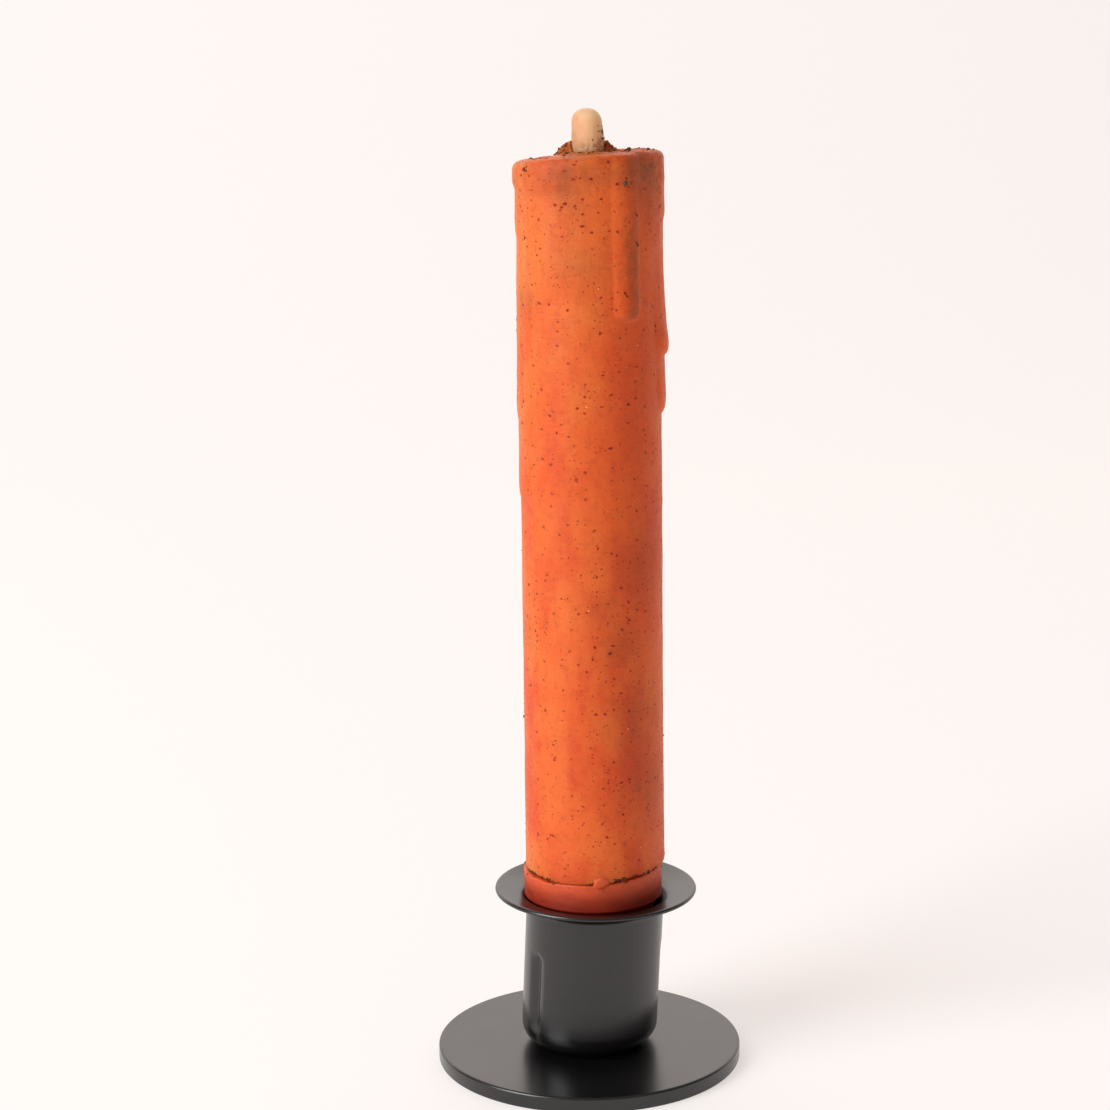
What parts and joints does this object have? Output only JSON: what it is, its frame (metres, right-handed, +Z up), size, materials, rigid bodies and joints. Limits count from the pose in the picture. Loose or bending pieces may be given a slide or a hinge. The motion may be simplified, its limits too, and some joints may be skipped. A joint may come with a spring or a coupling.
{
  "type": "melted candle",
  "caption": "Partly melted orange dinner candle with wax runs down its side, standing in a low black steel holder with a flared cup and a round base.",
  "frame": {"origin": "centre of the base disc's underside, on the surface that the holder stands on", "axes": "+Z up along the candle, -Y towards the front, +X to the right as seen from the front"},
  "size_m": [0.0522, 0.0522, 0.162],
  "materials": {
    "black_steel": "satin black paint on pressed steel",
    "rivet_steel": "black steel rivet",
    "foot_wax": "dense red-orange wax, darker towards the cup",
    "orange_wax": "mottled orange wax with fine dark specks",
    "waxed_wick": "pale cord soaked in wax"
  },
  "bodies": {
    "root": {"base_disc": "black_steel", "holder_cup": "black_steel", "cup_rivet": "rivet_steel", "candle_foot": "foot_wax", "candle_body": "orange_wax", "wick": "waxed_wick"}
  },
  "joints": []
}
